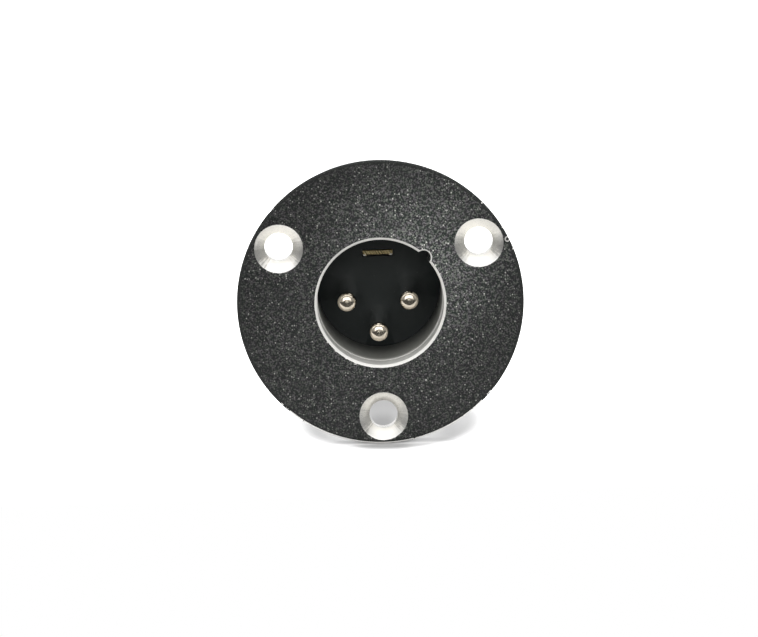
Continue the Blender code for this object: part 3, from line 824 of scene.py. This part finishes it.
def strip_slot():
    top = STRIP_HEIGHT + STRIP_THICKNESS / 2 + FIT
    bottom = STRIP_HEIGHT - STRIP_THICKNESS / 2 - LIP_DROP - FIT
    size = (4.0 * MM, 7.0 * MM, top - bottom)
    return box("strip_slot", size, (0.0, 12.75 * MM, (top + bottom) / 2))


def index_notch():
    inner = 7.55 * MM
    size = (1.8 * MM, 6.0 * MM, 1.0 * MM)
    centre = polar(INDEX_ANGLE, inner + size[2] / 2, 13.5 * MM)
    return box("index_notch", size, centre, INDEX_ANGLE)


def locking_screw_pocket():
    radius = SCREW_RADIUS + FIT
    inner = 6.8158 * MM
    profile = [(0.0, inner), (radius, inner), (radius, 9.4 * MM), (0.0, 9.4 * MM)]
    return pointing_down(turned("locking_screw_pocket", profile, 64), SCREW_DEPTH)


nose = BORE_RADIUS - 0.01 * MM
body = COUNTERBORE_RADIUS - FIT
step = SHOULDER + FIT
insulator_profile = [(0.0, INSULATOR_FACE), (2.0 * MM, INSULATOR_FACE)]
insulator_profile += arc((nose - 0.05 * MM, INSULATOR_FACE + 0.05 * MM), 0.05 * MM, -90, 0, 3)
insulator_profile += [(nose, step), (body, step)]
insulator_profile += arc((body - 0.25 * MM, INSULATOR_REAR - 0.25 * MM), 0.25 * MM, 0, 90, 6)
insulator_profile += [(2.0 * MM, INSULATOR_REAR), (0.0, INSULATOR_REAR)]
insulator = turned("black_insulator", insulator_profile, 256)
cutters = [contact_hole(angle) for angle in CONTACT_ANGLES]
cutters += [strip_slot(), index_notch(), locking_screw_pocket()]
combine(insulator, cutters)
tidy_faces(insulator)
seat(shade(insulator, INSULATOR_FINISH), "insulator", "insulator")

# %% [markdown]
# ## The contacts
# Pin and solder cup are one turned piece, plated a warm silver. The three are alike and
# stand a quarter turn apart round the axis, so one contact is made, and a second geometry
# tree sets it out. The middle of each tip is painted darker, a painted reflection of the
# dark side of the room, and is a little rougher there.


# %% The plating's material
def plating_material():
    t = Finish("warm_silver_plating")
    quarter = math.tau / 4
    angle = t.math("ARCTAN2", t.z, t.x)
    folded = t.math("FLOORED_MODULO", angle + quarter / 2, quarter) - quarter / 2
    radius = t.distance(t.x, t.z)
    along = radius * t.math("COSINE", folded) - PIN_CIRCLE / MM
    across = radius * t.math("SINE", folded)
    off_axis = t.distance(along, across)
    cloud = t.noise(0.5, 3.0)
    dome = t.y < -1.6
    # painted reflection: the middle of each tip is painted darker, as the dark side of the room it
    # mirrors, and made a little rougher
    tip = t.smooth(off_axis + (cloud - 0.5) * 0.35, 0.62, 0.36) * dome
    cup = t.smooth(t.y, 16.0, 17.2)
    colour = t.blend(cloud, (0.66, 0.585, 0.475), (0.74, 0.665, 0.55))
    colour = t.blend(tip * 0.6, colour, (0.36, 0.335, 0.27))
    colour = t.blend(cup * 0.7, colour, (0.62, 0.60, 0.55))
    turning = t.line_noise(t.y, 0.06, 2.0)
    rings = t.line_noise(off_axis, 0.08, 2.0) * dome
    shaft = t.smooth(t.y, -1.7, -1.0) * t.smooth(t.y, 14.0, 13.0)
    colour = t.blend(shaft, colour, (0.82, 0.84, 0.82))
    roughness = (0.10 + cloud * 0.06 + tip * 0.08 + cup * 0.30) * (1 - shaft * 0.4)
    return t.finish(colour, roughness, 1.0, turning * 0.0015 + rings * 0.004)


PLATING = plating_material()


# %% One contact
PIN_LEAN = math.tan(math.radians(1.37))  # the pins in the picture lean to the left


def contact_profile():
    seat_depth = COLLAR_SEAT + FIT  # front of the collar
    collar = COLLAR_RADIUS
    cup = 1.45 * MM
    end = 21.6 * MM
    tip = -2.6 * MM
    profile = [(0.0, tip), (0.17 * MM, tip + 0.012 * MM)]
    profile += arc((0.35 * MM, tip + 0.89 * MM), 0.85 * MM, -90, 0, 18)
    profile += [(PIN_RADIUS, 4.0 * MM), (PIN_RADIUS, INSULATOR_FACE), (PIN_RADIUS, seat_depth)]
    profile += [(collar - 0.08 * MM, seat_depth), (collar, seat_depth + 0.08 * MM)]
    profile += [(collar, seat_depth + 1.32 * MM), (collar - 0.08 * MM, seat_depth + 1.4 * MM)]
    profile += [(cup, seat_depth + 1.4 * MM)]
    profile += arc((cup - 0.15 * MM, end - 0.15 * MM), 0.15 * MM, 0, 90, 5)
    profile.append((0.0, end))
    return profile


def cup_bore():
    floor = 17.8 * MM
    profile = [(0.0, floor - 0.5 * MM), (1.0 * MM, floor), (1.0 * MM, 22.2 * MM), (0.0, 22.2 * MM)]
    return turned("cup_bore", profile, 48)


one_contact = turned("one_contact", contact_profile(), 96)
scoop_size = (2.9 * MM, 3.5 * MM, 5.8 * MM)
scoop_centre = (0.2 * MM + scoop_size[0] / 2, 22.1 * MM - scoop_size[1] / 2, 0.0)
combine(one_contact, [cup_bore(), box("cup_scoop", scoop_size, scoop_centre)])
tidy_faces(one_contact)
shade(one_contact, PLATING)


# %% The tree that sets the contacts out
def set_out_tree():
    tree, given = new_geometry_tree(
        "contacts_set_out",
        [
            ("Contact", "NodeSocketObject"),
            ("Count", "NodeSocketInt"),
            ("Circle Radius", "NodeSocketFloat"),
            ("First Angle", "NodeSocketFloat"),
            ("Angle Step", "NodeSocketFloat"),
            ("Material", "NodeSocketMaterial"),
        ],
    )
    index = tree.node("GeometryNodeInputIndex")
    angle = given["First Angle"] + index * given["Angle Step"]
    radius = given["Circle Radius"]
    place = tree.vector(
        radius * tree.math("COSINE", angle), 0.0, radius * tree.math("SINE", angle)
    )
    points = tree.node("GeometryNodePoints", inputs={"Count": given["Count"]})
    placed = tree.node(
        "GeometryNodeSetPosition", inputs={"Geometry": points, "Position": place}
    )
    contact = tree.node(
        "GeometryNodeObjectInfo", inputs={"Object": given["Contact"]}, output="Geometry"
    )
    copies = tree.node(
        "GeometryNodeInstanceOnPoints",
        inputs={
            "Points": placed,
            "Instance": contact,
            "Rotation": tree.vector(0.0, 0.0 - angle, 0.0),
        },
    )
    return close_geometry_tree(tree, copies, given["Material"])


contacts = link("three_contacts", bpy.data.meshes.new("three_contacts"))
run_tree(
    contacts,
    set_out_tree(),
    {
        "Contact": one_contact,
        "Count": 3,
        "Circle Radius": PIN_CIRCLE,
        "First Angle": CONTACT_ANGLES[0],
        "Angle Step": CONTACT_ANGLES[1] - CONTACT_ANGLES[0],
        "Material": PLATING,
    },
)
remove(one_contact)
for vertex in contacts.data.vertices:
    vertex.co.x -= max(0.0, INSULATOR_FACE - vertex.co.y) * PIN_LEAN
print("contacts reach from", [round(c / MM, 2) for c in contacts.bound_box[0]])
seat(contacts, "contacts", "contact_1", "contact_2", "contact_3")

# %% [markdown]
# ## The ground contact
# A strip stamped from brass sheet and folded along its edges. Its sheared front end shows
# above the pins: a shear leaves slanted lines, and the folded corners are rubbed bright.
# A stamped piece is drawn as its flat outline and given its thickness, then the folded
# edges and the spring wings are joined on.


# %% The brass's material
def brass_material():
    t = Finish("stamped_brass")
    sheared = t.y < STRIP_FRONT / MM + 0.08
    slant = t.line_noise(t.x * 0.87 + t.z * 0.5, 0.16, 3.0)
    cloud = t.noise(1.2, 3.0)
    side = t.smooth(t.math("ABSOLUTE", t.x), 1.42, 1.72)
    low = t.smooth(t.z, STRIP_HEIGHT / MM - 0.12, STRIP_HEIGHT / MM - 0.32)
    corner = sheared * side * low
    colour = t.blend(cloud, (0.44, 0.345, 0.155), (0.56, 0.45, 0.22))
    cut = t.blend(t.smooth(slant, 0.40, 0.60), (0.10, 0.08, 0.04), (0.44, 0.36, 0.19))
    colour = t.blend(sheared, colour, cut)
    colour = t.blend(corner, colour, (0.86, 0.86, 0.82))
    rolled = t.line_noise(t.x, 0.05, 2.0) * (1 - sheared)
    height = slant * sheared * 0.03 + rolled * 0.002
    roughness = 0.30 + cloud * 0.12 + sheared * 0.08
    return t.finish(colour, roughness, 1.0, height)


BRASS = brass_material()


# %% Stamped outline with rounded edges
def stamped(name, outlines, thickness, height, edge):
    """A flat plate from closed outlines in X and Y, with softened edges."""
    curve = bpy.data.curves.new(name, "CURVE")
    curve.dimensions = "2D"
    curve.fill_mode = "BOTH"
    curve.extrude = thickness / 2 - edge
    curve.bevel_depth = edge
    curve.bevel_resolution = 2
    curve.offset = -edge
    for outline in outlines:
        spline = curve.splines.new("POLY")
        spline.points.add(len(outline) - 1)
        for point, (x, y) in zip(spline.points, outline):
            point.co = (x, y, 0.0, 1.0)
        spline.use_cyclic_u = True
    plate = link(name, curve)
    bpy.context.view_layer.update()
    depsgraph = bpy.context.evaluated_depsgraph_get()
    mesh = bpy.data.meshes.new_from_object(plate.evaluated_get(depsgraph))
    remove(plate)
    mesh.transform(Matrix.Translation((0.0, 0.0, height)))
    return tidy_faces(link(name, mesh))


SHOULDER_REAR = 17.3 * MM
TAG_CENTRE = (0.0, 22.5 * MM)
WING_FRONT = 15.8 * MM
WING_REAR = 17.2 * MM
WING_THICKNESS = 0.3 * MM


def ground_outline():
    half = 1.9 * MM
    right = [(half, STRIP_FRONT), (half, 15.85 * MM), (half + 0.15 * MM, 15.7 * MM)]
    right += arc((2.3 * MM, 16.0 * MM), 0.3 * MM, -90, 0, 5)
    right += [(2.6 * MM, SHOULDER_REAR), (1.5 * MM, SHOULDER_REAR)]
    tip = arc(TAG_CENTRE, 1.5 * MM, 0, 180, 40)
    left = [(-x, y) for x, y in reversed(right)]
    return right + tip + left


def wing(side):
    """One spring wing: a leaf that bends up from the shoulder to the barrel's wall."""
    flat = 2.5 * MM
    bend = math.radians(55)
    path = [(1.2 * MM, STRIP_HEIGHT), (flat, STRIP_HEIGHT)]
    for k in range(1, 9):
        angle = bend * k / 8
        path.append((flat + math.sin(angle) * MM, STRIP_HEIGHT + (1 - math.cos(angle)) * MM))
    end = Vector(path[-1])
    run = Vector((math.cos(bend), math.sin(bend)))
    side_step = Vector((run.y, -run.x)) * (WING_THICKNESS / 2)
    reach = COUNTERBORE_RADIUS - FIT
    lengths = []
    for corner in (end + side_step, end - side_step):
        along = corner.dot(run)
        lengths.append(-along + math.sqrt(along**2 - corner.length_squared + reach**2))
    path.append(tuple(end + run * min(lengths)))
    shape = bmesh.new()
    near = [shape.verts.new((side * x, WING_FRONT, z)) for x, z in path]
    far = [shape.verts.new((side * x, WING_REAR, z)) for x, z in path]
    for i in range(len(path) - 1):
        shape.faces.new((near[i], near[i + 1], far[i + 1], far[i]))
    mesh = bpy.data.meshes.new("wing")
    shape.to_mesh(mesh)
    shape.free()
    leaf = link("wing", mesh)
    sheet = leaf.modifiers.new("Sheet", "SOLIDIFY")
    sheet.thickness = WING_THICKNESS
    sheet.offset = 0.0
    soft = leaf.modifiers.new("Soft edges", "BEVEL")
    soft.width = 0.04 * MM
    soft.segments = 2
    return tidy_faces(settle(leaf))


# %% Make the ground contact
def folded_edge(side):
    size = (0.5 * MM, 5.87 * MM, 0.30 * MM)
    lowest = STRIP_HEIGHT - STRIP_THICKNESS / 2 - LIP_DROP
    front = STRIP_FRONT + 0.03 * MM
    centre = (side * 1.62 * MM, front + size[1] / 2, lowest + size[2] / 2)
    return box("folded_edge", size, centre, edge=0.09 * MM)


eyelet = arc(TAG_CENTRE, 0.75 * MM, 0, 360, 40)[:-1]
ground = stamped(
    "ground_strip", [ground_outline(), eyelet], STRIP_THICKNESS, STRIP_HEIGHT, 0.05 * MM
)
combine(ground, [folded_edge(-1), folded_edge(1), wing(-1), wing(1)], "UNION")
tidy_faces(ground)
seat(shade(ground, BRASS), "ground_contact", "ground_contact")

# %% [markdown]
# ## The locking screw
# A small slotted set screw passes through the barrel's lower wall into the insulator and
# locks it. The lathe tree cuts its thread: each profile point says how much thread it
# takes, and the ends take none.


# %% The steel's material
def steel_material():
    t = Finish("plated_steel")
    cloud = t.noise(0.4, 3.0)
    colour = t.blend(cloud, (0.36, 0.36, 0.37), (0.56, 0.56, 0.55))
    marks = t.noise(0.08, 2.0)
    return t.finish(colour, 0.26 + cloud * 0.16, 1.0, marks * 0.003)


# %% Make the locking screw
def screw_profile(inner, outer, rows=56):
    edge = 0.2 * MM
    profile = [(0.0, inner, 0.0), (SCREW_RADIUS - edge, inner, 0.0)]
    for k in range(rows + 1):
        depth = inner + edge + (outer - inner - 2 * edge) * k / rows
        profile.append((SCREW_RADIUS, depth, 1.0))
    return profile + [(SCREW_RADIUS - edge, outer, 0.0), (0.0, outer, 0.0)]


screw_outer = BARREL_FRONT_RADIUS
screw_outer += (BARREL_REAR_RADIUS - BARREL_FRONT_RADIUS) * SCREW_DEPTH / BARREL_END
screw_outer -= 0.25 * MM
screw_inner = screw_outer - 2.5 * MM
screw = turned(
    "locking_screw", screw_profile(screw_inner, screw_outer), 96, pitch=0.45 * MM, thread=0.12 * MM
)
pointing_down(screw, SCREW_DEPTH)
slot_size = (5 * MM, 0.45 * MM, 1.3 * MM)
slot_centre = (0.0, SCREW_DEPTH, -(screw_outer + MARGIN - slot_size[2] / 2))
combine(screw, [box("driver_slot", slot_size, slot_centre)])
tidy_faces(screw)
seat(shade(screw, steel_material()), "insert_screw", "insert_screw")

# %% [markdown]
# ## Floor
# The table is white and loses its edge, with a soft grey shadow under the flange. A white
# floor under a soft lamp gives the shadow, and the table's colour is painted darker where
# the rim touches it and behind the flange, as painted shadow. A little extra light that only
# camera rays see lifts the table to white outside an oval round the connector, and lightens
# the shadow beside the rim as painted light, so it puts no light on the object.


# %% White floor that keeps its shadow
def light_path(tree):
    """1 for rays that come straight from the camera, and 0 for all others."""
    return tree.node("ShaderNodeLightPath", output="Is Camera Ray")


def floor_material():
    material = bpy.data.materials.new("white_table")
    material.use_nodes = True
    material.node_tree.nodes.clear()
    tree = Tree(material.node_tree)
    camera_ray = light_path(tree)
    place = tree.node("ShaderNodeTexCoord", output="Object")
    x, y, _ = tree.xyz(place)
    # painted shadow: the table's colour is darkest where the rim touches it
    painted_contact_shadow = tree.smooth(((x / 0.008) ** 2 + ((y + 0.0045) / 0.004) ** 2) ** 0.5, 1.3, 0.3)
    aside = tree.math("ABSOLUTE", x)
    middle = tree.smooth(aside, 0.008, 0.004)
    # painted shadow behind the flange, where the lower screw hole shows the table
    far = tree.smooth(y, 0.008, 0.026) * middle * 1.15
    paper = tree.node(
        "ShaderNodeBsdfDiffuse", inputs={"Color": 0.79 - painted_contact_shadow * 0.28 - far * 0.30}
    )
    # painted light: a glow that only camera rays see makes the shadow lighter beside the point
    # where the rim meets the table, most of all right under the rim
    side = tree.smooth(aside, 0.0015, 0.0045) * 0.24 - tree.smooth(aside, 0.006, 0.009) * 0.18
    side = side * tree.smooth(y, 0.015, 0.009)
    near = tree.smooth(y, -0.0042, -0.0030) * tree.smooth(y, 0.020, 0.010) * middle
    side = side + near * tree.smooth(aside, 0.0006, 0.0020) * 0.14
    # outside this oval the table is pure white
    x = (x - 0.001) / 0.0142
    y = (y - 0.012) / 0.0195
    square = x * x + y * y
    away = tree.smooth(square**0.5, 0.70 + y * y / square * 0.17, 1.04)
    lift = tree.node("ShaderNodeEmission", inputs={"Strength": camera_ray * (away + side)})
    both = tree.node("ShaderNodeAddShader", inputs={0: paper, 1: lift})
    tree.node("ShaderNodeOutputMaterial", inputs={"Surface": both})
    return material


def sheet_of(name, corners, material):
    mesh = bpy.data.meshes.new(name)
    mesh.from_pydata(corners, [], [(0, 1, 2, 3)])
    mesh.materials.append(material)
    made = link(name, mesh)
    return made


FLOOR = -FLANGE_RADIUS
table_x, table_front, table_back = 0.45, -0.032, 0.9
sheet_of(
    "white_table_top",
    [
        (-table_x, table_front, FLOOR),
        (table_x, table_front, FLOOR),
        (table_x, table_back, FLOOR),
        (-table_x, table_back, FLOOR),
    ],
    floor_material(),
)

# %% [markdown]
# ## Light
# A long soft box hangs over the connector, and a smaller panel lights the flange from the
# front. The room is bright behind the connector and dark on the photographer's side, most
# of all below the horizon. That dark side is what the domed tips of the pins mirror.


# %% The room
def dress_world():
    world = bpy.data.worlds.new("white_room")
    bpy.context.scene.world = world
    world.use_nodes = True
    world.node_tree.nodes.clear()
    tree = Tree(world.node_tree)
    camera_ray = light_path(tree)
    _, back, up = tree.xyz(tree.node("ShaderNodeTexCoord", output="Generated"))
    room = 0.08 + tree.smooth(up, -0.06, 0.12) * 0.32 + tree.smooth(back, 0.0, 0.3) * 0.6
    strength = tree.math("MAXIMUM", camera_ray, room)
    white = (1.0, 1.0, 1.0, 1.0)
    glow = tree.node("ShaderNodeBackground", inputs={"Color": white, "Strength": strength})
    tree.node("ShaderNodeOutputWorld", inputs={"Surface": glow})


dress_world()


# %% Lamps
def lamp(name, kind, place, target, power, **settings):
    data = bpy.data.lights.new(name, kind)
    data.energy = power
    for setting, value in settings.items():
        setattr(data, setting, value)
    made = link(name, data)
    made.location = place
    aim = Vector(target) - Vector(place)
    made.rotation_euler = aim.to_track_quat("-Z", "Y").to_euler()
    return made


lamp(
    "soft_box",
    "AREA",
    (-0.20, 0.07, 0.32),
    (-0.20, 0.07, 0.0),
    2.15,
    shape="RECTANGLE",
    size=1.10,
    size_y=0.36,
)
lamp(
    "front_panel",
    "AREA",
    (0.0, -0.45, 0.21),
    (0.0, 0.0, 0.0),
    1.65,
    shape="RECTANGLE",
    size=0.60,
    size_y=0.40,
)

# %% [markdown]
# ## Camera
# The connector looks straight at a camera that stands half a metre away, ten degrees above
# it and a touch to the left. The lens is long, so the flange stays a near circle. The
# camera leans by a little under two degrees, as the connector in the picture is turned.


# %% The camera
DISTANCE = 0.48
ELEVATION = math.radians(10.0)
YAW = math.radians(0.8)
LEAN = math.radians(1.68)
LENS = 183.0
flange_middle = Vector((0.0, FACE, 0.0))
back = Vector(
    (
        -math.sin(YAW) * math.cos(ELEVATION),
        -math.cos(YAW) * math.cos(ELEVATION),
        math.sin(ELEVATION),
    )
)
level_right = Vector((0.0, 0.0, 1.0)).cross(back).normalized()
level_up = back.cross(level_right)
right = level_right * math.cos(LEAN) - level_up * math.sin(LEAN)
up = level_up * math.cos(LEAN) + level_right * math.sin(LEAN)
aim_right, aim_up = -0.1875 * MM, -1.9435 * MM
camera_data = bpy.data.cameras.new("camera")
camera_data.lens = LENS
camera_data.clip_start = 0.01
camera = link("camera", camera_data)
turn = Matrix((right, up, back)).transposed().to_4x4()
aim = flange_middle + right * aim_right + up * aim_up
camera.matrix_world = Matrix.Translation(aim + back * DISTANCE) @ turn
bpy.context.scene.camera = camera
bpy.context.scene.view_settings.view_transform = "Standard"
print("camera stands at", [round(c, 4) for c in camera.location])
